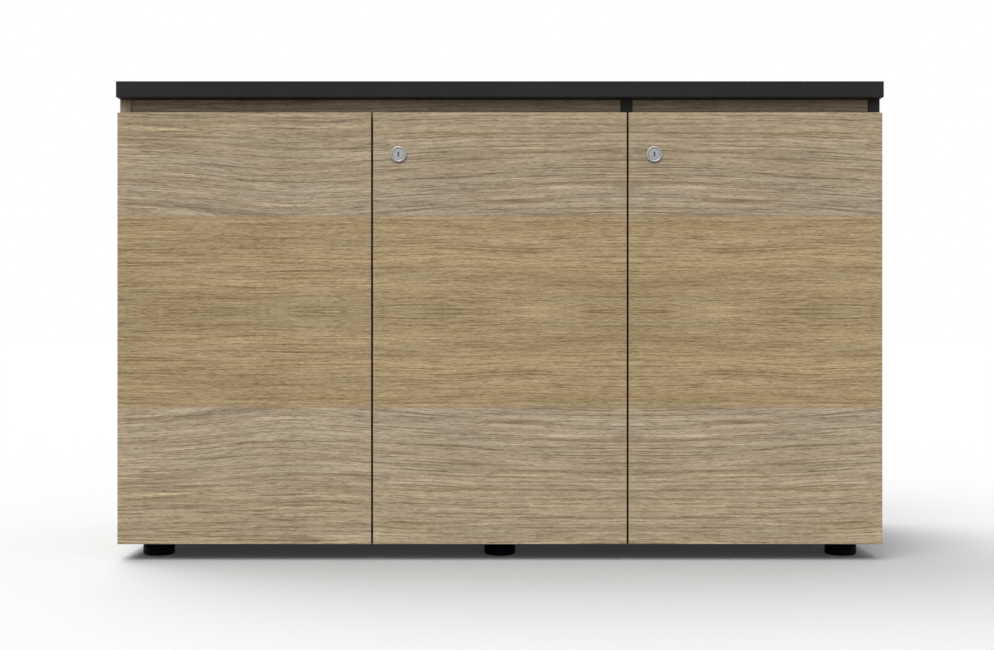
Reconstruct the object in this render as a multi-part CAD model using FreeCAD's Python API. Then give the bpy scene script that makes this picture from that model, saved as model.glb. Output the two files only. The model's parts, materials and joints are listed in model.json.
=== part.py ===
import FreeCAD, Part
import math
import os

# Three-door office cupboard. Millimetres, +Z up, +X to the right, the doors face -Y.
# The origin is on the floor, under the middle of the cupboard.

# Overall sizes
cabinet_width = 1200.0
cabinet_depth = 450.0
cabinet_height = 750.0

# Boards
top_thickness = 25.0
board = 18.0
edge_round = 0.8
back_thickness = 8.0
back_groove_depth = 6.0
back_groove_inset = 14.0
back_groove_clearance = 0.2
top_back_overhang = 2.0
rail_height = 32.0
rail_setback = 2.0

# Doors
door_thickness = 18.0
door_gap = 3.0
finger_gap = 23.5
door_lift = 1.0
door_to_carcass = 2.5
top_front_overhang = 3.0

# Shelves and the rows of pin holes that carry them
shelf_z = 363.0
shelf_setback = 40.0
shelf_clearance = 1.0
shelf_back_clearance = 2.0
pin_hole_r = 2.5
pin_hole_depth = 8.0
pin_pitch = 32.0
pin_rows = 5
pin_front_inset = 80.0
pin_back_inset = 44.0
pin_head_r = 3.5
pin_head_length = 9.0
pin_head_flat = 3.0

# Feet
foot_height = 25.0
foot_r = 25.0
foot_running_gap = 0.2
foot_bottom_round = 2.0
foot_top_round = 1.0
foot_groove = 0.8
foot_groove_height = 2.0
foot_groove_z = 15.0
foot_side_inset = 50.0
foot_front_inset = 50.0
foot_back_inset = 50.0
foot_stem_r = 4.0
foot_stem_length = 15.0
foot_thread_clearance = 0.05
socket_r = 7.0
socket_depth = 16.0

# Concealed hinges. u runs inward from a door's hinged edge, v backward from its front face
hinge_end_distance = 100.0
pin_u = 7.0
pin_v = 6.5
pin_r = 1.25
knuckle_r = 2.4
knuckle_clearance = 0.05
knuckle_width = 7.0
cup_r = 17.4
cup_wall = 0.8
cup_u = 20.5
cup_hole_clearance = 0.1
cup_skin = 3.0
flange_thickness = 1.2
flange_margin = 0.6
ear_u = 6.0
ear_z = 24.0
ear_r = 6.0
arm_thickness = 2.4
arm_reach = 17.0
arm_bend_r = 4.0
arm_rise = 7.5
arm_back_width = 12.0
arm_crank_start = 24.0
arm_crank_length = 12.0
plate_front_inset = 37.0
plate_wing_thickness = 2.0
plate_wing_width = 14.0
plate_wing_z = 16.0
saddle_front = 10.0
saddle_length = 42.0
arm_screw_inset = 16.0

# Screws
wood_screw_r = 1.75
wood_screw_head_r = 3.3
wood_screw_head = 1.8
wood_screw_depth = 10.0
plate_screw_r = 2.5
plate_screw_head_r = 4.2
plate_screw_head = 1.6
plate_screw_depth = 11.0
arm_screw_r = 2.0
arm_screw_head_r = 4.0
arm_screw_head = 2.0
screw_slot_width = 1.0
screw_slot_depth = 0.8
screw_tip_share = 0.4
screw_crown_share = 0.75

# Cam fittings that join the boards
cam_r = 7.5
cam_depth = 12.5
cam_distance = 24.0
cam_slot_width = 1.6
cam_slot_depth = 1.5
cam_slot_length = 10.5
bolt_shank_r = 3.0
bolt_head_r = 3.5
bolt_head_length = 4.0
bolt_hole_r = 4.0
bolt_thread_r = 2.5
bolt_thread_length = 8.0
base_cam_y = 75.0
top_cam_y = 110.0
partition_cam_y = 60.0

# Locks
lock_edge_distance = 40.0
lock_below_door_top = 65.5
bezel_r = 12.5
bezel_proud = 2.8
bezel_round = 1.2
bezel_rim_width = 3.3
bezel_face_drop = 0.6
bezel_groove_width = 0.5
bezel_groove_depth = 1.6
barrel_r = 9.5
barrel_behind = 8.0
plug_r = 6.5
plug_clearance = 0.05
plug_proud = 0.5
key_slot_width = 2.4
key_slot_height = 7.6
key_slot_depth = 9.0
lock_nut_r = 13.0
lock_nut_thickness = 4.0
cam_bar_thickness = 2.5
cam_bar_width = 13.0
cam_bar_gap = 0.4
cam_square = 8.0
cam_screw_head_r = 4.5
cam_screw_head = 2.0
cam_screw_r = 2.0
cam_screw_depth = 6.0

# What the cams reach behind
keeper_width = 16.0
keeper_height = 44.0
keeper_edge_inset = 3.0
keeper_gap = 0.5
keeper_overlap = 11.0
keeper_screw_z = 14.0
strike_thickness = 2.0
strike_lip = 14.0
strike_overlap = 9.5
strike_leg = 30.0
strike_height = 44.0
strike_bend_r = 3.0
strike_screw_z = 12.0
strike_screw_from_lip = 17.0

# Bolt on the left door
rod_r = 2.5
rod_clearance = 0.05
rod_length = 62.0
rod_behind_door = 12.0
rod_below_rail = 2.0
rod_travel = 12.0
rod_hole_r = 4.25
rod_from_door_edge = 46.0
case_height = 48.0
case_below_rod_top = 4.0
case_plate_width = 36.0
case_plate_thickness = 1.6
case_barrel_r = 5.5
case_window_end = 3.0
case_screw_x = 13.5
case_screw_end = 7.0
knob_r = 2.0
knob_clearance = 0.4
knob_length = 12.0

# Rubber buffers behind the doors' free corners
buffer_r = 4.0
buffer_round = 0.8
buffer_clearance = 0.3
buffer_edge_distance = 24.0

X = FreeCAD.Vector(1, 0, 0)
Y = FreeCAD.Vector(0, 1, 0)
Z = FreeCAD.Vector(0, 0, 1)

# Places worked out from the sizes above
half_width = cabinet_width / 2
top_front_y = -cabinet_depth / 2
top_back_y = cabinet_depth / 2
carcass_top_z = cabinet_height - top_thickness
door_front_y = top_front_y + top_front_overhang
door_back_y = door_front_y + door_thickness
carcass_front_y = door_back_y + door_to_carcass
carcass_back_y = top_back_y - top_back_overhang
base_top_z = foot_height + board
rail_bottom_z = carcass_top_z - rail_height
rail_front_y = carcass_front_y + rail_setback
rail_back_y = rail_front_y + board
back_rear_y = carcass_back_y - back_groove_inset
back_front_y = back_rear_y - back_thickness
gable_inner_x = half_width - board
door_bottom_z = foot_height + door_lift
door_top_z = carcass_top_z - finger_gap
door_width = (cabinet_width - 3 * door_gap) / 3
partition_x = (door_width + door_gap) / 2
partition_left_x = partition_x - board / 2
partition_right_x = partition_x + board / 2
door_left_edges = {
    "left": -half_width + door_gap / 2,
    "middle": -door_width / 2,
    "right": half_width - door_gap / 2 - door_width,
}
lock_z = door_top_z - lock_below_door_top
hinge_zs = (door_bottom_z + hinge_end_distance, door_top_z - hinge_end_distance)
pin_front_y = carcass_front_y + pin_front_inset
pin_back_y = back_front_y - pin_back_inset
pin_z = shelf_z - pin_head_flat
foot_front_y = carcass_front_y + foot_front_inset
foot_back_y = carcass_back_y - foot_back_inset
foot_x = half_width - foot_side_inset
lock_cam_y = door_back_y + barrel_behind + cam_bar_gap
rod_x = door_left_edges["left"] + door_width - rod_from_door_edge
rod_y = door_back_y + rod_behind_door
rod_top_z = rail_bottom_z - rod_below_rail


def vec(x, y, z):
    return FreeCAD.Vector(x, y, z)


def block(x0, x1, y0, y1, z0, z1):
    return Part.makeBox(x1 - x0, y1 - y0, z1 - z0, vec(x0, y0, z0))


def rod(radius, start, direction, length):
    return Part.makeCylinder(radius, length, start, direction)


def soften(shape, radius, keep):
    """Round the edges that keep picks, as a machine rounds a board's edges."""
    edges = [edge for edge in shape.Edges if keep(edge)]
    return shape.makeFillet(radius, edges)


def panel(x0, x1, y0, y1, z0, z1, front_only=False):
    """A board with its edges rounded, all round or only on its front face."""
    body = block(x0, x1, y0, y1, z0, z1)
    return soften(body, edge_round, lambda edge: not front_only or edge.BoundBox.YMax < y0 + edge_round)


def revolved(outline):
    """Turn an outline of (radius, height) points round the Z axis."""
    points = [vec(radius, 0, height) for radius, height in outline]
    face = Part.Face(Part.makePolygon(points + points[:1]))
    return face.revolve(vec(0, 0, 0), Z, 360)


def aimed(shape, start, direction):
    """Move a piece that was made along +Z so that it starts at a point and looks along a direction."""
    turn = FreeCAD.Rotation(Z, direction)
    moved = shape.copy()
    moved.Placement = FreeCAD.Placement(start, turn).multiply(moved.Placement)
    return moved


def screw(shank_r, shank_length, head_r, head_height):
    """A pan-head screw, its head's seat at z = 0 and its shank along -Z, with a slot across the head."""
    body = revolved([
        (0, -shank_length),
        (shank_r * screw_tip_share, -shank_length),
        (shank_r, -shank_length + shank_r),
        (shank_r, 0),
        (head_r, 0),
        (head_r, head_height / 2),
        (head_r * screw_crown_share, head_height),
        (0, head_height),
    ])
    slot = block(
        -screw_slot_width / 2, screw_slot_width / 2, -head_r, head_r,
        head_height - screw_slot_depth, head_height,
    )
    return body.cut(slot)


def bent_strip(path, thickness, bend_r, width):
    """A flat strip that follows a path in plan, with round bends, centred on z = 0."""
    points = [vec(x, y, -width / 2) for x, y in path]
    runs = [(b - a).normalize() for a, b in zip(points, points[1:])]
    sides = {1: [], -1: []}
    for side, edges in sides.items():
        def beside(point, run):
            return point + Z.cross(run) * (side * thickness / 2)

        at = beside(points[0], runs[0])
        for corner, before, after in zip(points[1:-1], runs, runs[1:]):
            turn = before.getAngle(after)
            left = 1 if before.cross(after).z > 0 else -1
            tangent = bend_r * math.tan(turn / 2)
            start = corner - before * tangent
            end = corner + after * tangent
            centre = start + Z.cross(before) * (left * bend_r)
            outward = (corner - centre).normalize()
            middle = centre + outward * (bend_r - left * side * thickness / 2)
            first = beside(start, before)
            last = beside(end, after)
            edges.append(Part.LineSegment(at, first).toShape())
            edges.append(Part.Arc(first, middle, last).toShape())
            at = last
        edges.append(Part.LineSegment(at, beside(points[-1], runs[-1])).toShape())
    ends = []
    for place in (0, -1):
        near = points[place] + Z.cross(runs[place]) * (thickness / 2)
        far = points[place] - Z.cross(runs[place]) * (thickness / 2)
        ends.append(Part.LineSegment(near, far).toShape())
    outline = Part.Wire(Part.__sortEdges__(sides[1] + sides[-1] + ends))
    return Part.Face(outline).extrude(Z * width)


nodes = {}


def add(name, *solids):
    nodes.setdefault(name, []).extend(solids)


def drill(name, tool):
    """Cut a tool out of the one board in a node."""
    nodes[name] = [nodes[name][0].cut(tool)]


# Boards of the carcass
add("top_panel", panel(-half_width, half_width, top_front_y, top_back_y, carcass_top_z, cabinet_height))
for name, inner_x, outer_x in (
    ("left_gable", -gable_inner_x, -half_width),
    ("right_gable", gable_inner_x, half_width),
):
    add(name, panel(
        min(inner_x, outer_x), max(inner_x, outer_x), carcass_front_y, carcass_back_y,
        foot_height, carcass_top_z, front_only=True,
    ))
add("partition", panel(
    partition_left_x, partition_right_x, carcass_front_y, carcass_back_y, base_top_z, carcass_top_z, front_only=True,
))
add("base_panel", panel(
    -gable_inner_x, gable_inner_x, carcass_front_y, carcass_back_y, foot_height, base_top_z, front_only=True,
))
bays = {
    "left": (-gable_inner_x, partition_left_x),
    "right": (partition_right_x, gable_inner_x),
}
for side, (bay_left, bay_right) in bays.items():
    add("front_rail_" + side, panel(
        bay_left, bay_right, rail_front_y, rail_back_y, rail_bottom_z, carcass_top_z, front_only=True,
    ))
    add("shelf_" + side, panel(
        bay_left + shelf_clearance, bay_right - shelf_clearance, carcass_front_y + shelf_setback,
        back_front_y - shelf_back_clearance, shelf_z, shelf_z + board, front_only=True,
    ))

# Back panels, held in grooves round each bay
for side, (bay_left, bay_right) in bays.items():
    groove = block(
        bay_left - back_groove_depth, bay_right + back_groove_depth,
        back_front_y - back_groove_clearance, back_rear_y + back_groove_clearance,
        base_top_z - back_groove_depth, carcass_top_z,
    )
    for name in ("left_gable", "right_gable", "partition", "base_panel"):
        drill(name, groove)
    add("back_panel_" + side, block(
        bay_left - back_groove_depth + back_groove_clearance,
        bay_right + back_groove_depth - back_groove_clearance,
        back_front_y, back_rear_y,
        base_top_z - back_groove_depth, carcass_top_z,
    ))

# Shelf pins and the rows of holes that they fit
pin_outline = revolved([
    (0, -pin_hole_depth),
    (pin_hole_r, -pin_hole_depth),
    (pin_hole_r, 0),
    (pin_head_r, 0),
    (pin_head_r, pin_head_length),
    (0, pin_head_length),
])
pin_faces = (
    ("left_gable", -gable_inner_x, 1),
    ("partition", partition_left_x, -1),
    ("partition", partition_right_x, 1),
    ("right_gable", gable_inner_x, -1),
)
for board_name, face_x, inward in pin_faces:
    for column_y in (pin_front_y, pin_back_y):
        for row in range(pin_rows):
            row_z = pin_z + (row - (pin_rows - 1) / 2) * pin_pitch
            drill(board_name, rod(pin_hole_r, vec(face_x, column_y, row_z), X * -inward, pin_hole_depth))
        shelf_pin = aimed(pin_outline, vec(face_x, column_y, pin_z), X * inward)
        above = block(
            face_x - pin_head_length * 2, face_x + pin_head_length * 2,
            column_y - pin_head_r * 2, column_y + pin_head_r * 2, shelf_z, shelf_z + pin_head_r,
        )
        add("shelf_pins", shelf_pin.cut(above))

# Cam fittings: a cam turned in one board pulls a bolt that is screwed into the next
cam_body = rod(cam_r, vec(0, 0, -cam_depth), Z, cam_depth)
cam_body = cam_body.cut(block(
    -cam_slot_length / 2, cam_slot_length / 2, -cam_slot_width / 2, cam_slot_width / 2, -cam_slot_depth, 0,
))
connecting_bolt = revolved([
    (0, -bolt_thread_length),
    (bolt_thread_r, -bolt_thread_length),
    (bolt_thread_r, 0),
    (bolt_shank_r, 0),
    (bolt_shank_r, cam_distance - cam_r),
    (bolt_head_r, cam_distance - cam_r),
    (bolt_head_r, cam_distance - cam_r + bolt_head_length),
    (0, cam_distance - cam_r + bolt_head_length),
])


def cam_joint(cam_board, bolt_board, seam, along, out):
    """Join two boards at a seam. The bolt points along into cam_board, whose face with the cam looks out."""
    cam_face = seam + along * cam_distance + out * (board / 2)
    drill(cam_board, rod(cam_r, cam_face, out * -1, cam_depth))
    drill(cam_board, rod(bolt_hole_r, seam, along, cam_distance))
    drill(bolt_board, rod(bolt_thread_r, seam, along * -1, bolt_thread_length))
    head_room = rod(bolt_hole_r, seam, along, cam_distance)
    add("cam_fittings", aimed(cam_body, cam_face, out).cut(head_room))
    add("cam_bolts", aimed(connecting_bolt, seam, along))


base_mid_z = foot_height + board / 2
rail_mid_y = rail_front_y + board / 2
rail_mid_z = rail_bottom_z + rail_height / 2
for gable, side in (("left_gable", -1), ("right_gable", 1)):
    gable_mid_x = side * (half_width - board / 2)
    for along_y in (-1, 1):
        cam_joint(
            "base_panel", gable, vec(side * gable_inner_x, along_y * base_cam_y, base_mid_z), X * -side, Z * -1,
        )
        cam_joint(
            gable, "top_panel", vec(gable_mid_x, along_y * top_cam_y, carcass_top_z), Z * -1, X * -side,
        )
for along_y in (-1, 1):
    cam_joint("partition", "base_panel", vec(partition_x, along_y * partition_cam_y, base_top_z), Z, X)
    cam_joint("partition", "top_panel", vec(partition_x, along_y * partition_cam_y, carcass_top_z), Z * -1, X)
for side, (bay_left, bay_right) in bays.items():
    left_board, right_board = {"left": ("left_gable", "partition"), "right": ("partition", "right_gable")}[side]
    cam_joint("front_rail_" + side, left_board, vec(bay_left, rail_mid_y, rail_mid_z), X, Y)
    cam_joint("front_rail_" + side, right_board, vec(bay_right, rail_mid_y, rail_mid_z), X * -1, Y)

# Levelling feet: a nylon foot with a threaded stem, in a socket let into the base
foot_top = foot_height - foot_running_gap
foot_shape = revolved([
    (0, 0),
    (foot_r - foot_bottom_round, 0),
    (foot_r, foot_bottom_round),
    (foot_r, foot_groove_z - foot_groove_height / 2),
    (foot_r - foot_groove, foot_groove_z),
    (foot_r, foot_groove_z + foot_groove_height / 2),
    (foot_r, foot_top - foot_top_round),
    (foot_r - foot_top_round, foot_top),
    (foot_stem_r, foot_top),
    (foot_stem_r, foot_top + foot_stem_length),
    (0, foot_top + foot_stem_length),
])
for row_name, foot_y in (("front", foot_front_y), ("back", foot_back_y)):
    for column_name, column_x in (("left", -foot_x), ("middle", 0), ("right", foot_x)):
        place = vec(column_x, foot_y, 0)
        add("foot_" + row_name + "_" + column_name, foot_shape.translated(place))
        mouth = vec(column_x, foot_y, foot_height)
        drill("base_panel", rod(socket_r, mouth, Z, socket_depth))
        thread = rod(foot_stem_r + foot_thread_clearance, mouth, Z, socket_depth)
        add("foot_sockets", rod(socket_r, mouth, Z, socket_depth).cut(thread))

# Doors
for side, left_edge in door_left_edges.items():
    add("door_" + side, panel(
        left_edge, left_edge + door_width, door_front_y, door_back_y, door_bottom_z, door_top_z,
    ))

# Hinge pieces of a door hung on its left edge, at u = x, v = y and z = 0
wood_screw = screw(wood_screw_r, wood_screw_depth + flange_thickness, wood_screw_head_r, wood_screw_head)
cup_bottom_v = cup_skin
cup_hole_r = cup_r + cup_hole_clearance
pin_hole = rod(pin_r, vec(pin_u, pin_v, -cup_hole_r), Z, 2 * cup_hole_r)
cup_axis_start = vec(cup_u, cup_bottom_v, 0)
cup_depth = door_thickness - cup_skin
flange_face_v = door_thickness + flange_thickness
ears = [vec(cup_u + ear_u, door_thickness, end * ear_z) for end in (-1, 1)]


def make_cup():
    shell = rod(cup_r, cup_axis_start, Y, cup_depth)
    flange = rod(cup_r + flange_margin, vec(cup_u, door_thickness, 0), Y, flange_thickness)
    ear_strip = block(
        cup_u + ear_u - ear_r, cup_u + ear_u + ear_r, door_thickness, flange_face_v, -ear_z, ear_z,
    )
    whole = shell.fuse([flange, ear_strip] + [rod(ear_r, ear, Y, flange_thickness) for ear in ears])
    hollow = rod(cup_r - cup_wall, vec(cup_u, cup_bottom_v + cup_wall, 0), Y, cup_depth + flange_thickness)
    whole = whole.cut([hollow, pin_hole] + [rod(wood_screw_r, ear, Y, flange_thickness) for ear in ears])
    return whole.removeSplitter()


def make_arm(panel_u):
    """The arm from the pin to its mounting plate on a board whose face is at u = panel_u."""
    reach_u = pin_u + arm_reach
    back_u = panel_u + arm_rise
    back_v = arm_front_v + saddle_length
    path = [(pin_u, pin_v), (reach_u, pin_v)]
    if abs(back_u - reach_u) > arm_thickness:
        path += [(reach_u, arm_crank_start), (back_u, arm_crank_start + arm_crank_length)]
    path.append((back_u, back_v))
    strip = bent_strip(path, arm_thickness, arm_bend_r, knuckle_width)
    tail = block(
        back_u - arm_thickness / 2, back_u + arm_thickness / 2, arm_front_v, back_v,
        -arm_back_width / 2, arm_back_width / 2,
    )
    knuckle = rod(knuckle_r, vec(pin_u, pin_v, -knuckle_width / 2), Z, knuckle_width)
    bore = rod(pin_r + knuckle_clearance, vec(pin_u, pin_v, -knuckle_width), Z, 2 * knuckle_width)
    hole = rod(arm_screw_r, vec(panel_u, arm_screw_v, 0), X, 2 * arm_rise)
    return strip.fuse([tail, knuckle]).cut([bore, hole]).removeSplitter()


carcass_front_v = carcass_front_y - door_front_y
plate_v = carcass_front_v + plate_front_inset
arm_front_v = plate_v - saddle_front
arm_screw_v = plate_v + arm_screw_inset
saddle_height = arm_rise - arm_thickness / 2


def make_plate(panel_u):
    saddle = block(
        panel_u, panel_u + saddle_height, arm_front_v, arm_front_v + saddle_length,
        -arm_back_width / 2, arm_back_width / 2,
    )
    wing = block(
        panel_u, panel_u + plate_wing_thickness, plate_v - plate_wing_width / 2,
        plate_v + plate_wing_width / 2, -plate_wing_z, plate_wing_z,
    )
    rounds = [
        rod(plate_wing_width / 2, vec(panel_u, plate_v, end * plate_wing_z), X, plate_wing_thickness)
        for end in (-1, 1)
    ]
    holes = [rod(plate_screw_r, vec(panel_u, plate_v, end * plate_wing_z), X, saddle_height) for end in (-1, 1)]
    holes.append(rod(arm_screw_r, vec(panel_u, arm_screw_v, 0), X, saddle_height))
    return saddle.fuse([wing] + rounds).cut(holes).removeSplitter()


plate_screw = screw(
    plate_screw_r, plate_screw_depth + plate_wing_thickness, plate_screw_head_r, plate_screw_head,
)
arm_screw = screw(arm_screw_r, arm_thickness + saddle_height, arm_screw_head_r, arm_screw_head)


def hang_door(side, hinge_edge_x, inward, board_name, board_face_x):
    """Fit a door's two hinges. inward is the X direction from its hinged edge to its free edge."""
    panel_u = (board_face_x - hinge_edge_x) * inward
    made = {
        "hinge_cups_" + side: [make_cup()],
        "hinge_pins_" + side: [pin_hole.common(rod(cup_r, cup_axis_start, Y, cup_depth))],
        "hinge_arms_" + side: [make_arm(panel_u)],
        "hinge_plates": [make_plate(panel_u)],
        "door_screws_" + side: [aimed(wood_screw, ear + Y * flange_thickness, Y) for ear in ears],
        "plate_screws": [
            aimed(plate_screw, vec(panel_u + plate_wing_thickness, plate_v, end * plate_wing_z), X)
            for end in (-1, 1)
        ],
        "arm_screws": [aimed(arm_screw, vec(panel_u + saddle_height + arm_thickness, arm_screw_v, 0), X)],
    }
    door_holes = [rod(cup_hole_r, cup_axis_start, Y, cup_depth)]
    door_holes += [rod(wood_screw_r, ear, Y * -1, wood_screw_depth) for ear in ears]
    board_holes = [
        rod(plate_screw_r, vec(panel_u, plate_v, end * plate_wing_z), X * -1, plate_screw_depth)
        for end in (-1, 1)
    ]
    for hinge_z in hinge_zs:
        def placed(shape):
            turned = shape if inward > 0 else shape.mirror(vec(0, 0, 0), X)
            return turned.translated(vec(hinge_edge_x, door_front_y, hinge_z))

        for name, solids in made.items():
            add(name, *[placed(solid) for solid in solids])
        for hole in door_holes:
            drill("door_" + side, placed(hole))
        for hole in board_holes:
            drill(board_name, placed(hole))


hang_door("left", door_left_edges["left"], 1, "left_gable", -gable_inner_x)
hang_door("middle", door_left_edges["middle"] + door_width, -1, "partition", partition_left_x)
hang_door("right", door_left_edges["right"] + door_width, -1, "right_gable", gable_inner_x)

# Cam locks. Each looks along -Y, and its cam hangs down when it is unlocked
barrel_back_y = door_back_y + barrel_behind


def fit_lock(side, cam_tip_x):
    """A lock whose cam ends at cam_tip_x when it is turned to the locked side."""
    lock_x = door_left_edges[side] + lock_edge_distance
    cam_reach = lock_x - cam_tip_x
    front = vec(lock_x, door_front_y - bezel_proud, lock_z)
    barrel_length = bezel_proud + door_thickness + barrel_behind
    # a round rim, a groove inside it, and a face that lies a little below the rim
    rim_inner_r = bezel_r - bezel_rim_width
    face = rod(rim_inner_r - bezel_groove_width, front + Y * bezel_face_drop, Y, bezel_groove_depth)
    hollow = rod(rim_inner_r, front, Y, bezel_groove_depth).cut(face)
    bezel = rod(bezel_r, front, Y, bezel_proud).cut(hollow)
    bezel = soften(bezel, bezel_round, lambda edge: edge.BoundBox.YMax < front.y + bezel_face_drop / 2)
    plug_bore = rod(plug_r + plug_clearance, front, Y, barrel_length)
    housing = bezel.fuse(rod(barrel_r, front + Y * bezel_proud, Y, barrel_length - bezel_proud))
    add("lock_housing_" + side, housing.cut(plug_bore).removeSplitter())

    plug_front = front + Y * plug_proud
    plug_length = barrel_back_y + cam_bar_gap - plug_front.y
    plug = rod(plug_r, plug_front, Y, plug_length)
    square = block(
        lock_x - cam_square / 2, lock_x + cam_square / 2, lock_cam_y, lock_cam_y + cam_bar_thickness,
        lock_z - cam_square / 2, lock_z + cam_square / 2,
    )
    key_slot = block(
        lock_x - key_slot_width / 2, lock_x + key_slot_width / 2, front.y, plug_front.y + key_slot_depth,
        lock_z - key_slot_height / 2, lock_z + key_slot_height / 2,
    )
    cam_back = vec(lock_x, lock_cam_y + cam_bar_thickness, lock_z)
    screw_hole = rod(cam_screw_r, cam_back, Y * -1, cam_screw_depth)
    add("lock_plug_" + side, plug.fuse(square).cut([key_slot, screw_hole]).removeSplitter())

    tip_r = cam_bar_width / 2
    bar = block(
        lock_x - tip_r, lock_x + tip_r, lock_cam_y, cam_back.y, lock_z - cam_reach + tip_r, lock_z,
    )
    bar_ends = [
        rod(tip_r, vec(lock_x, lock_cam_y, end_z), Y, cam_bar_thickness)
        for end_z in (lock_z, lock_z - cam_reach + tip_r)
    ]
    add("lock_cam_" + side, bar.fuse(bar_ends).cut(square).removeSplitter())
    cam_screw = screw(cam_screw_r, cam_screw_depth, cam_screw_head_r, cam_screw_head)
    add("cam_screw_" + side, aimed(cam_screw, cam_back, Y))

    corners = [math.radians(60 * step) for step in range(7)]
    hexagon = Part.makePolygon([
        vec(lock_x + lock_nut_r * math.cos(turn), door_back_y, lock_z + lock_nut_r * math.sin(turn))
        for turn in corners
    ])
    nut = Part.Face(hexagon).extrude(Y * lock_nut_thickness)
    barrel_hole = rod(barrel_r, vec(lock_x, door_front_y, lock_z), Y, door_thickness + lock_nut_thickness)
    add("lock_nut_" + side, nut.cut(barrel_hole))
    drill("door_" + side, barrel_hole)


keeper_right_x = door_left_edges["left"] + door_width - keeper_edge_inset
fit_lock("middle", keeper_right_x - keeper_overlap)
fit_lock("right", partition_right_x + strike_lip - strike_overlap)

# Keeper on the left door's back, for the middle lock's cam
keeper_x = keeper_right_x - keeper_width / 2
keeper_back_y = lock_cam_y - keeper_gap
keeper = block(
    keeper_right_x - keeper_width, keeper_right_x, door_back_y, keeper_back_y,
    lock_z - keeper_height / 2, lock_z + keeper_height / 2,
)
keeper_screw = screw(
    wood_screw_r, wood_screw_depth + keeper_back_y - door_back_y - wood_screw_head,
    wood_screw_head_r, wood_screw_head,
)
keeper = soften(keeper, edge_round, lambda edge: edge.BoundBox.YMin > door_back_y + edge_round)
for end in (-1, 1):
    seat = vec(keeper_x, keeper_back_y - wood_screw_head, lock_z + end * keeper_screw_z)
    keeper = keeper.cut(rod(wood_screw_head_r, seat, Y, wood_screw_head))
    keeper = keeper.cut(rod(wood_screw_r, seat, Y * -1, seat.y - door_back_y))
    drill("door_left", rod(wood_screw_r, vec(seat.x, door_back_y, seat.z), Y * -1, wood_screw_depth))
    add("door_screws_left", aimed(keeper_screw, seat, Y))
add("lock_keeper", keeper)

# Strike bracket on the partition, for the right lock's cam
lip_y = lock_cam_y - keeper_gap - strike_thickness / 2
leg_x = partition_right_x + strike_thickness / 2
bracket = bent_strip(
    [(partition_right_x + strike_lip, lip_y), (leg_x, lip_y), (leg_x, lip_y + strike_leg)],
    strike_thickness, strike_bend_r, strike_height,
).translated(vec(0, 0, lock_z))
strike_screw = screw(wood_screw_r, wood_screw_depth + strike_thickness, wood_screw_head_r, wood_screw_head)
for end in (-1, 1):
    seat = vec(
        partition_right_x + strike_thickness, lip_y + strike_screw_from_lip, lock_z + end * strike_screw_z,
    )
    screw_hole = rod(wood_screw_r, seat, X * -1, strike_thickness + wood_screw_depth)
    bracket = bracket.cut(screw_hole)
    drill("partition", screw_hole)
    add("strike_screws", aimed(strike_screw, seat, X))
add("strike_bracket", bracket)

# Bolt on the left door's back: a rod in a case, which slides up into the front rail
case_top_z = rod_top_z - case_below_rod_top
case_mid_z = case_top_z - case_height / 2
case_bottom_z = case_top_z - case_height
case_plate = block(
    rod_x - case_plate_width / 2, rod_x + case_plate_width / 2,
    door_back_y, door_back_y + case_plate_thickness, case_bottom_z, case_top_z,
)
case_plate = soften(case_plate, edge_round, lambda edge: edge.BoundBox.YMin > door_back_y)
case_barrel = rod(case_barrel_r, vec(rod_x, rod_y, case_bottom_z), Z, case_height)
case_web = block(
    rod_x - case_barrel_r, rod_x + case_barrel_r, door_back_y + case_plate_thickness, rod_y,
    case_bottom_z, case_top_z,
)
window_half = knob_r + knob_clearance
window_reach = rod_travel / 2 + knob_r + case_window_end
window = block(
    rod_x - window_half, rod_x + window_half, rod_y, rod_y + case_barrel_r * 2,
    case_mid_z - window_reach, case_mid_z + window_reach,
)
case = case_plate.fuse([case_web, case_barrel])
case = case.cut([rod(rod_r + rod_clearance, vec(rod_x, rod_y, case_bottom_z), Z, case_height), window])
case_screw = screw(wood_screw_r, wood_screw_depth + case_plate_thickness, wood_screw_head_r, wood_screw_head)
for across in (-1, 1):
    for end in (-1, 1):
        seat = vec(
            rod_x + across * case_screw_x, door_back_y + case_plate_thickness,
            case_mid_z + end * (case_height / 2 - case_screw_end),
        )
        screw_hole = rod(wood_screw_r, seat, Y * -1, case_plate_thickness + wood_screw_depth)
        case = case.cut(screw_hole)
        drill("door_left", screw_hole)
        add("door_screws_left", aimed(case_screw, seat, Y))
add("bolt_case", case.removeSplitter())
knob_z = case_mid_z - rod_travel / 2
bolt_rod = rod(rod_r, vec(rod_x, rod_y, rod_top_z - rod_length), Z, rod_length)
bolt_rod = soften(bolt_rod, edge_round, lambda edge: edge.BoundBox.ZMin > rod_top_z - edge_round)
knob = rod(knob_r, vec(rod_x, rod_y, knob_z), Y, knob_length)
add("bolt_rod", bolt_rod.fuse(knob).removeSplitter())
drill("front_rail_left", rod(rod_hole_r, vec(rod_x, rod_y, rail_bottom_z), Z, rod_travel))

# Buffers between each door's free corners and the rail or base behind it
free_edges = {
    "left": door_left_edges["left"] + door_width - buffer_edge_distance,
    "middle": door_left_edges["middle"] + buffer_edge_distance,
    "right": door_left_edges["right"] + buffer_edge_distance,
}
for side, buffer_x in free_edges.items():
    for seat_z, stop_y in (
        ((rail_bottom_z + door_top_z) / 2, rail_front_y),
        ((door_bottom_z + base_top_z) / 2, carcass_front_y),
    ):
        height = stop_y - door_back_y - buffer_clearance
        dome = rod(buffer_r, vec(buffer_x, door_back_y, seat_z), Y, height)
        dome = soften(dome, buffer_round, lambda edge: edge.BoundBox.YMin > door_back_y + buffer_round)
        add("buffers_" + side, dome)

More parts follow.
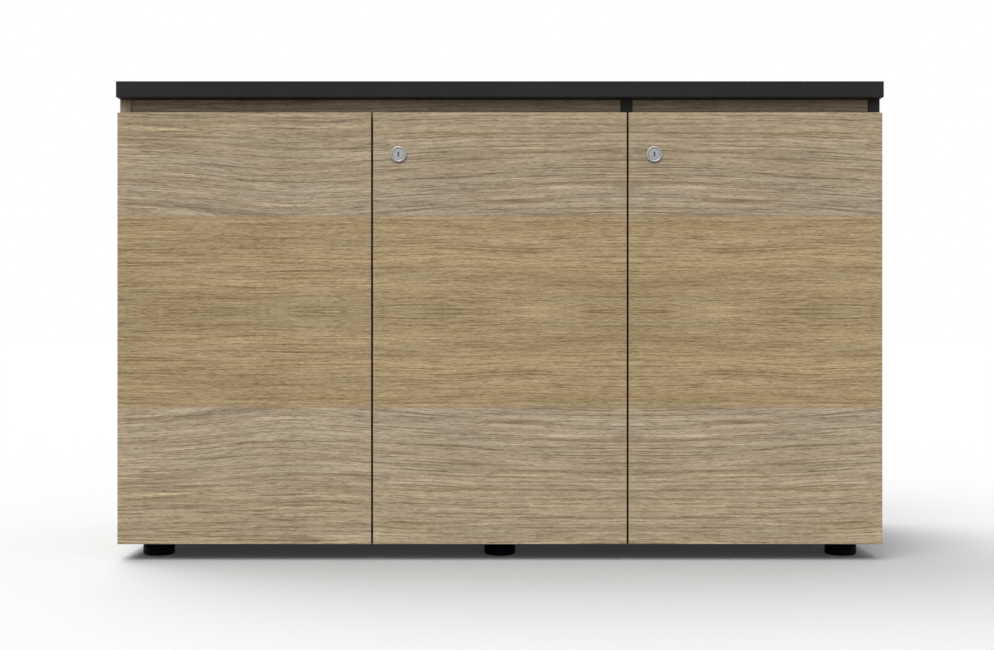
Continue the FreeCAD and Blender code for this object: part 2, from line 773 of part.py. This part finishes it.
os.makedirs("parts", exist_ok=True)
for name, solids in nodes.items():
    shape = solids[0] if len(solids) == 1 else Part.makeCompound(solids)
    shape.exportStep("parts/" + name + ".step")
    print(name, len(solids), "solids", round(shape.Volume), "mm3")
print(len(nodes), "nodes")
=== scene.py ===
import json
import math

import bpy
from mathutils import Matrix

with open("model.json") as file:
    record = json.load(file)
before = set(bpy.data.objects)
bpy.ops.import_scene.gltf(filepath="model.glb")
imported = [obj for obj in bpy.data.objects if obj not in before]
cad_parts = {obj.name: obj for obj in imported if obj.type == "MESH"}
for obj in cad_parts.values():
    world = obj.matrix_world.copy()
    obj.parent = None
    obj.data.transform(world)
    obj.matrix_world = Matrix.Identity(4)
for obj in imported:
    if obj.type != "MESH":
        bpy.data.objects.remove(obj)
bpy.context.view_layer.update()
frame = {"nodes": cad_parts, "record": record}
nodes = frame["nodes"]

scene = bpy.context.scene
scene.view_settings.view_transform = "Standard"


# small helpers for shader trees

noiseMiddle = 0.5
edgeFacing = 0.7  # how squarely a face looks along an axis before it counts as a board's edge


def newMaterial(name):
    material = bpy.data.materials.new(name)
    material.use_nodes = True
    return material, material.node_tree


def addNode(tree, kind, inputs=None, **settings):
    node = tree.nodes.new(kind)
    for key, value in settings.items():
        setattr(node, key, value)
    for key, value in (inputs or {}).items():
        socket = node.inputs[key]
        if isinstance(value, bpy.types.NodeSocket):
            tree.links.new(value, socket)
        else:
            socket.default_value = value
    return node


def mathOf(tree, operation, *values):
    inputs = dict(enumerate(values))
    return addNode(tree, "ShaderNodeMath", inputs, operation=operation).outputs[0]


def noiseOf(tree, vector, detail=2.0, roughness=0.5):
    inputs = {"Vector": vector, "Scale": 1.0, "Detail": detail, "Roughness": roughness}
    return addNode(tree, "ShaderNodeTexNoise", inputs).outputs["Fac"]


def stretch(tree, value, low, high, toLow=0.0, toHigh=1.0):
    inputs = {"Value": value, "From Min": low, "From Max": high, "To Min": toLow, "To Max": toHigh}
    return addNode(tree, "ShaderNodeMapRange", inputs, clamp=True).outputs[0]


def mixColour(tree, factor, first, second, blend="MIX"):
    node = tree.nodes.new("ShaderNodeMix")
    node.data_type = "RGBA"
    node.blend_type = blend
    # sockets 6 and 7 are the node's two colours, and output 2 is the mixed one
    for socket, value in ((node.inputs[0], factor), (node.inputs[6], first), (node.inputs[7], second)):
        if isinstance(value, bpy.types.NodeSocket):
            tree.links.new(value, socket)
        elif isinstance(value, (int, float)):
            socket.default_value = value
        else:
            socket.default_value = (*value, 1.0)
    return node.outputs[2]


def tinted(tree, factor, colour, tint):
    return mixColour(tree, factor, colour, tint, "MULTIPLY")


def mixNumber(tree, factor, first, second):
    return addNode(tree, "ShaderNodeMix", {0: factor, 2: first, 3: second}).outputs[0]


def coordinatesOf(tree, kind):
    vector = addNode(tree, "ShaderNodeTexCoord").outputs[kind]
    return addNode(tree, "ShaderNodeSeparateXYZ", {0: vector}).outputs


def specksOf(tree, perMetre, detail):
    place = addNode(tree, "ShaderNodeTexCoord").outputs["Object"]
    scaled = addNode(tree, "ShaderNodeVectorMath", {0: place, 1: perMetre}, operation="MULTIPLY")
    return noiseOf(tree, scaled.outputs[0], detail, roughness=0.6)


# texture runs from 0 to 1 and sets the gloss, and height is what the bump follows
def finishSurface(tree, look, colour, texture, height):
    surface = tree.nodes["Principled BSDF"]
    tree.links.new(colour, surface.inputs["Base Color"])
    roughness = stretch(tree, texture, 0.0, 1.0, *look["roughness"])
    tree.links.new(roughness, surface.inputs["Roughness"])
    surface.inputs["Specular IOR Level"].default_value = look["specular"]
    bump = addNode(
        tree, "ShaderNodeBump",
        {"Height": height, "Strength": look["bump"], "Distance": look["bumpDepth"]},
    )
    tree.links.new(bump.outputs[0], surface.inputs["Normal"])
    return surface


# oak veneer: leaves laid with the grain across the doors, book-matched about one height,
# and mirrored about the gap between the middle and right doors

oakVeneer = {
    "leafWidth": 0.1494,
    "leafSeam": 0.002,  # half the width over which one leaf gives way to the next
    "matchHeight": 0.390,
    "mirrorX": 0.200,
    "bends": ((-0.335, 0.17, 0.013), (-0.28, 0.30, 0.014)),  # place, width and depth of each bend
    "bendReach": (0.16, 0.12),  # how far from the seam the bends fade, and what is left of them there
    "wanderScale": (3.2, 8.0),
    "wander": 0.012,  # how far the grain strays in the grey leaves
    "goldWander": 0.020,
    "gableShare": 0.7,  # how much of the gable's thickness counts across its grain
    "lowPaintedLift": (1.075, 1.082, 1.092),  # painted light: the grey leaves below are lifted a little paler, for the brighter light low on the doors
    "railPaintedShade": (0.88, 0.89, 0.94),  # painted shade: the rails and the left gable are darkened and greyed, for the shade under the top in the finger gap
    "gablePaintedShade": (0.88, 0.92, 0.97),
    "specular": 0.25,
    "roughness": (0.42, 0.56),
    "bump": 0.10,
    "bumpDepth": 0.0003,
}

# a scale is waves per metre along and across the grain, edges are the noise levels
# between which a layer comes in, and a tint multiplies the colour under it
greyLeaf = {
    "base": ((0.428, 0.359, 0.260), (0.504, 0.423, 0.303)),
    "tone": (2.2, 52.0),
    "toneEdges": (0.30, 0.70),
    "patch": (6.0, 40.0),
    "patchEdges": (0.40, 0.65),
    "patchTint": (1.02, 0.985, 0.93),
    "shade": (0.16, 0.30, (1.0, 0.98, 0.913)),  # warmer away from the seam
    "lines": ((5.5, 330.0, 0.42), (20.0, 700.0, 0.18), (170.0, 720.0, 0.40)),  # scale and share
    "lineEdges": (0.34, 0.68),
    "lineTint": (0.56, 0.53, 0.505),
    "streaks": (8.0, 430.0),
    "streakEdges": (0.56, 0.66),
    "streakTint": (0.69, 0.65, 0.61),
    "lights": (7.5, 300.0),
    "lightEdges": (0.50, 0.70),
    "lightTint": (1.28, 1.28, 1.29),
    "flecks": (60.0, 800.0),
    "fleckEdges": (0.56, 0.68),
    "fleckTint": (0.67, 0.63, 0.59),
    "pores": (42.0, 2400.0),
    "poreEdges": (0.57, 0.68),
    "poreTint": (0.58, 0.53, 0.48),
    "rings": (1.5, 42.0),
    "ringWidth": 0.022,
    "ringTint": (0.75, 0.73, 0.71),
    "seed": 1.7,
}
goldLeaf = {
    "base": ((0.420, 0.335, 0.194), (0.531, 0.426, 0.252)),
    "tone": (2.5, 46.0),
    "toneEdges": (0.30, 0.70),
    "patch": (5.0, 60.0),
    "patchEdges": (0.40, 0.65),
    "patchTint": (1.02, 0.985, 0.945),
    "shade": (0.036, 0.008, (0.92, 0.93, 0.94)),  # darker where the leaves mirror
    "lines": ((9.0, 460.0, 0.36), (26.0, 800.0, 0.26), (150.0, 760.0, 0.38)),
    "lineEdges": (0.37, 0.65),
    "lineTint": (0.55, 0.50, 0.44),
    "streaks": (7.5, 450.0),
    "streakEdges": (0.56, 0.66),
    "streakTint": (0.72, 0.665, 0.60),
    "lights": (12.0, 430.0),
    "lightEdges": (0.52, 0.72),
    "lightTint": (1.14, 1.13, 1.12),
    "flecks": (75.0, 850.0),
    "fleckEdges": (0.56, 0.68),
    "fleckTint": (0.70, 0.65, 0.58),
    "pores": (48.0, 2600.0),
    "poreEdges": (0.57, 0.68),
    "poreTint": (0.62, 0.56, 0.48),
    "seed": 4.3,
}
# each layer takes its own slice of the noise, this far from the leaf's seed
layerSlice = {
    "tone": 0,
    "patch": 11,
    "line": 23,
    "streak": 37,
    "light": 53,
    "fleck": 61,
    "pore": 71,
    "ring": 83,
}


def grainNoise(tree, along, across, scale, noiseSlice, detail=2.0):
    lengthwise = mathOf(tree, "MULTIPLY", along, scale[0])
    crosswise = mathOf(tree, "MULTIPLY", across, scale[1])
    point = addNode(tree, "ShaderNodeCombineXYZ", {0: lengthwise, 1: crosswise, 2: noiseSlice})
    return noiseOf(tree, point.outputs[0], detail)


def oakLeaf(tree, along, across, leafPlace, leaf):
    def layerOf(kind, scale, detail=2.0):
        return grainNoise(tree, along, across, scale, leaf["seed"] + layerSlice[kind], detail)

    tone = stretch(tree, layerOf("tone", leaf["tone"]), *leaf["toneEdges"])
    colour = mixColour(tree, tone, *leaf["base"])
    patch = stretch(tree, layerOf("patch", leaf["patch"]), *leaf["patchEdges"])
    colour = tinted(tree, patch, colour, leaf["patchTint"])
    start, end, shadeTint = leaf["shade"]
    colour = tinted(tree, stretch(tree, leafPlace, start, end), colour, shadeTint)
    lines = 0.0
    for lengthwise, crosswise, share in leaf["lines"]:
        lines = mathOf(tree, "MULTIPLY_ADD", layerOf("line", (lengthwise, crosswise)), share, lines)
    lines = stretch(tree, lines, *leaf["lineEdges"])
    colour = tinted(tree, lines, colour, leaf["lineTint"])
    for kind in ("streak", "light", "fleck", "pore"):
        layer = stretch(tree, layerOf(kind, leaf[kind + "s"], detail=1.0), *leaf[kind + "Edges"])
        colour = tinted(tree, layer, colour, leaf[kind + "Tint"])
    if "rings" in leaf:
        # year rings: long thin lines where a slow noise passes its middle
        fromMiddle = mathOf(tree, "SUBTRACT", layerOf("ring", leaf["rings"], detail=1.0), noiseMiddle)
        ring = stretch(tree, mathOf(tree, "ABSOLUTE", fromMiddle), 0.0, leaf["ringWidth"], 1.0, 0.0)
        colour = tinted(tree, ring, colour, leaf["ringTint"])
    return colour, lines


def bendOf(tree, along, place, width, depth):
    share = mathOf(tree, "DIVIDE", mathOf(tree, "SUBTRACT", along, place), width)
    squared = mathOf(tree, "MULTIPLY", share, share)
    bell = mathOf(tree, "EXPONENT", mathOf(tree, "MULTIPLY", squared, -1.0))
    return mathOf(tree, "MULTIPLY", bell, depth)


def bentGrain(tree, along, across, leafPlace):
    look = oakVeneer
    bend = 0.0
    for place, width, depth in look["bends"]:
        bend = mathOf(tree, "ADD", bend, bendOf(tree, along, place, width, depth))
    reach, left = look["bendReach"]
    strength = stretch(tree, leafPlace, look["leafWidth"], look["leafWidth"] + reach, 1.0, left)
    return mathOf(tree, "MULTIPLY_ADD", bend, strength, across)


# both give the place along and across the grain, across it with the bends, and across the leaves

def gableGrain(tree, x, y, z):
    across = mathOf(tree, "MULTIPLY_ADD", x, oakVeneer["gableShare"], y)
    leafPlace = mathOf(tree, "ABSOLUTE", y)
    return z, across, across, leafPlace


def doorGrain(tree, x, y, z):
    look = oakVeneer
    fromMirror = mathOf(tree, "ABSOLUTE", mathOf(tree, "SUBTRACT", x, look["mirrorX"]))
    along = mathOf(tree, "SUBTRACT", look["mirrorX"], fromMirror)
    leafPlace = mathOf(tree, "ABSOLUTE", mathOf(tree, "SUBTRACT", z, look["matchHeight"]))
    across = mathOf(tree, "ADD", leafPlace, y)
    flowing = bentGrain(tree, along, across, leafPlace)
    # the bands on the doors' upright edges have their grain along the edge, all of it grey
    sideways = mathOf(tree, "ABSOLUTE", coordinatesOf(tree, "Normal")["X"])
    onEdge = mathOf(tree, "GREATER_THAN", sideways, edgeFacing)
    greyPlace = look["leafWidth"] * 2
    along = mixNumber(tree, onEdge, along, z)
    across = mixNumber(tree, onEdge, across, y)
    flowing = mixNumber(tree, onEdge, flowing, y)
    leafPlace = mixNumber(tree, onEdge, leafPlace, greyPlace)
    return along, across, flowing, leafPlace


def makeOak(name, upright=False, tint=None):
    look = oakVeneer
    material, tree = newMaterial(name)
    x, y, z = coordinatesOf(tree, "Object")
    layGrain = gableGrain if upright else doorGrain
    along, across, flowing, leafPlace = layGrain(tree, x, y, z)
    # the grain wanders a little, more in the golden leaves, which have no bends
    wander = grainNoise(tree, along, across, look["wanderScale"], 0.0, detail=1.0)
    wander = mathOf(tree, "SUBTRACT", wander, noiseMiddle)
    flowing = mathOf(tree, "MULTIPLY_ADD", wander, look["wander"], flowing)
    straight = mathOf(tree, "MULTIPLY_ADD", wander, look["goldWander"], across)
    greyColour, greyLines = oakLeaf(tree, along, flowing, leafPlace, greyLeaf)
    goldColour, goldLines = oakLeaf(tree, along, straight, leafPlace, goldLeaf)
    leafWidth, seam = look["leafWidth"], look["leafSeam"]
    if not upright:
        # painted light: the grey leaves below the lower match line are lifted paler
        lowEdge = look["matchHeight"] - leafWidth
        isLow = stretch(tree, z, lowEdge - seam, lowEdge + seam, 1.0, 0.0)
        greyColour = tinted(tree, isLow, greyColour, look["lowPaintedLift"])
    inGold = stretch(tree, leafPlace, leafWidth - seam, leafWidth + seam, 1.0, 0.0)
    colour = mixColour(tree, inGold, greyColour, goldColour)
    # painted shade: a rail or gable tint darkens and greys the whole board
    if tint:
        colour = tinted(tree, 1.0, colour, tint)
    lines = mixNumber(tree, inGold, greyLines, goldLines)
    finishSurface(tree, look, colour, lines, mathOf(tree, "MULTIPLY", lines, -1.0))
    return material


# charcoal laminate with a fine pearl texture

charcoalLaminate = {
    "dark": (0.0150, 0.0150, 0.0153),
    "light": (0.0315, 0.0315, 0.0318),
    "layers": ((1500.0, 0.45), (520.0, 0.40), (9.0, 0.15)),  # specks per metre and share
    "edges": (0.36, 0.64),
    "edgePaintedLight": (1.95, 1.92, 1.88),  # painted light: the front edges of the upright charcoal boards are made paler, where they sit in shade under the top
    "roughness": (0.46, 0.64),
    "specular": 0.05,
    "bump": 0.35,
    "bumpDepth": 0.0002,
}


def makeCharcoal(name, paintedEdgeLight=False):
    look = charcoalLaminate
    material, tree = newMaterial(name)
    texture = 0.0
    for perMetre, share in look["layers"]:
        layer = specksOf(tree, (perMetre,) * 3, detail=2.0)
        texture = mathOf(tree, "MULTIPLY_ADD", layer, share, texture)
    texture = stretch(tree, texture, *look["edges"])
    colour = mixColour(tree, texture, look["dark"], look["light"])
    # painted light: the front-facing faces of the partition and right gable are made paler
    if paintedEdgeLight:
        onPaintedLightEdge = mathOf(tree, "LESS_THAN", coordinatesOf(tree, "Normal")["Y"], -edgeFacing)
        colour = tinted(tree, onPaintedLightEdge, colour, look["edgePaintedLight"])
    finishSurface(tree, look, colour, texture, texture)
    return material


# metals, nylon and rubber, with specks per metre along x, y and z

zincPlate = {
    "dull": (0.50, 0.50, 0.51),
    "bright": (0.68, 0.68, 0.69),
    "specks": (500.0, 500.0, 125.0),
    "roughness": (0.40, 0.55),
    "metallic": 1.0,
    "specular": 0.5,
    "bump": 0.08,
    "bumpDepth": 0.0001,
}
satinNickel = {
    "dull": (0.32, 0.32, 0.316),
    "bright": (0.36, 0.36, 0.355),
    "specks": (2500.0, 250.0, 2500.0),
    "roughness": (0.36, 0.44),
    "metallic": 1.0,
    "specular": 0.5,
    "bump": 0.03,
    "bumpDepth": 0.0001,
}
blackNylon = {
    "dull": (0.0010, 0.0010, 0.0010),
    "bright": (0.0020, 0.0020, 0.0020),
    "specks": (900.0, 900.0, 900.0),
    "roughness": (0.55, 0.70),
    "metallic": 0.0,
    "specular": 0.07,
    "bump": 0.2,
    "bumpDepth": 0.0001,
}
greyRubber = {
    "dull": (0.40, 0.40, 0.38),
    "bright": (0.52, 0.52, 0.50),
    "specks": (600.0, 600.0, 600.0),
    "roughness": (0.55, 0.70),
    "metallic": 0.0,
    "specular": 0.5,
    "bump": 0.1,
    "bumpDepth": 0.0001,
}
speckEdges = (0.3, 0.7)


def makeMottled(name, look):
    material, tree = newMaterial(name)
    specks = specksOf(tree, look["specks"], detail=3.0)
    texture = stretch(tree, specks, *speckEdges)
    colour = mixColour(tree, texture, look["dull"], look["bright"])
    surface = finishSurface(tree, look, colour, texture, specks)
    surface.inputs["Metallic"].default_value = look["metallic"]
    return material


finishes = {
    "oak_board": makeOak("oakVeneer"),
    "charcoal_board": makeCharcoal("charcoalLaminate"),
    "black_nylon": makeMottled("blackNylon", blackNylon),
    "zinc_steel": makeMottled("zincPlate", zincPlate),
    "lock_silver": makeMottled("satinNickel", satinNickel),
    "buffer_rubber": makeMottled("greyRubber", greyRubber),
}
# the left gable and the rails carry painted shade
gableOakPaintedShade = makeOak("oakVeneerUprightPaintedShade", upright=True, tint=oakVeneer["gablePaintedShade"])
railOakPaintedShade = makeOak("oakVeneerRailPaintedShade", tint=oakVeneer["railPaintedShade"])
# the partition and right gable carry a painted paler front edge
charcoalPaintedEdgeLight = makeCharcoal("charcoalLaminatePaintedEdgeLight", paintedEdgeLight=True)
ownFinishes = {
    "left_gable": gableOakPaintedShade,
    "front_rail_left": railOakPaintedShade,
    "front_rail_right": railOakPaintedShade,
    "partition": charcoalPaintedEdgeLight,
    "right_gable": charcoalPaintedEdgeLight,
}
print("materials made:", len(finishes) + len(set(ownFinishes.values())))


def dress(piece, material):
    piece.data.materials.clear()
    piece.data.materials.append(material)


for subpart in frame["record"]["subparts"]:
    dress(nodes[subpart["node"]], finishes[subpart["material_slot"]])
for name, material in ownFinishes.items():
    dress(nodes[name], material)
print("nodes dressed")


# floor, studio light and camera

studio = {
    "floorSize": 60.0,
    "floorColour": (0.33, 0.33, 0.33),
    "floorBounce": (0.08, 0.08, 0.08),  # the floor as the object's own surfaces see it
    "floorGlow": 0.03,
    "domeLevels": (0.50, 1.56),  # at the horizon and overhead
    "backSun": {"toward": (-0.46, 0.50, 1.0), "angle": 45.0, "strength": 4.0},
    "frontSun": {"toward": (-0.26, -0.62, 1.0), "angle": 45.0, "strength": 2.60},
}


def seenDirectly(tree):
    path = addNode(tree, "ShaderNodeLightPath").outputs
    seen = mathOf(tree, "MAXIMUM", path["Is Camera Ray"], path["Is Glossy Ray"])
    return mathOf(tree, "MAXIMUM", seen, path["Is Transmission Ray"])


def makeFloor():
    look = studio
    half = look["floorSize"] / 2
    mesh = bpy.data.meshes.new("studioFloor")
    corners = [(-half, -half, 0), (half, -half, 0), (half, half, 0), (-half, half, 0)]
    mesh.from_pydata(corners, [], [(0, 1, 2, 3)])
    floor = bpy.data.objects.new("studioFloor", mesh)
    scene.collection.objects.link(floor)
    material, tree = newMaterial("studioFloorWhite")
    tree.nodes.remove(tree.nodes["Principled BSDF"])
    matte = addNode(tree, "ShaderNodeBsdfDiffuse", {"Color": (*look["floorColour"], 1.0)})
    glow = addNode(tree, "ShaderNodeEmission", {"Strength": look["floorGlow"]})
    pale = addNode(tree, "ShaderNodeAddShader", {0: matte.outputs[0], 1: glow.outputs[0]})
    bounce = addNode(tree, "ShaderNodeBsdfDiffuse", {"Color": (*look["floorBounce"], 1.0)})
    shaders = {0: seenDirectly(tree), 1: bounce.outputs[0], 2: pale.outputs[0]}
    whole = addNode(tree, "ShaderNodeMixShader", shaders)
    tree.links.new(whole.outputs[0], tree.nodes["Material Output"].inputs["Surface"])
    dress(floor, material)


def makeWorld():
    world = bpy.data.worlds.new("whiteStudio")
    scene.world = world
    world.use_nodes = True
    tree = world.node_tree
    dome = tree.nodes["Background"]
    dome.inputs["Color"].default_value = (1.0, 1.0, 1.0, 1.0)
    height = coordinatesOf(tree, "Generated")["Z"]
    level = stretch(tree, height, 0.0, 1.0, *studio["domeLevels"])
    tree.links.new(level, dome.inputs["Strength"])
    white = addNode(tree, "ShaderNodeBackground", {"Color": (1.0, 1.0, 1.0, 1.0), "Strength": 1.0})
    shaders = {0: seenDirectly(tree), 1: dome.outputs[0], 2: white.outputs[0]}
    whole = addNode(tree, "ShaderNodeMixShader", shaders)
    tree.links.new(whole.outputs[0], tree.nodes["World Output"].inputs["Surface"])


def hangSun(name):
    look = studio[name]
    sun = bpy.data.lights.new(name, "SUN")
    sun.angle = math.radians(look["angle"])
    sun.energy = look["strength"]
    holder = bpy.data.objects.new(name, sun)
    holder.location = look["toward"]
    holder.rotation_euler = (-holder.location).to_track_quat("-Z", "Y").to_euler()
    scene.collection.objects.link(holder)


viewpoint = {"lens": 50.0, "sensor": 36.0, "place": (-0.0045, -2.3816, 0.369)}


def makeCamera():
    camera = bpy.data.cameras.new("frontView")
    camera.lens = viewpoint["lens"]
    camera.sensor_width = viewpoint["sensor"]
    camera.sensor_fit = "HORIZONTAL"
    holder = bpy.data.objects.new("frontView", camera)
    holder.location = viewpoint["place"]
    holder.rotation_euler = (math.radians(90), 0, 0)  # level, square to the doors
    scene.collection.objects.link(holder)
    scene.camera = holder


makeFloor()
makeWorld()
hangSun("backSun")
hangSun("frontSun")
makeCamera()
print("floor, light and camera set")
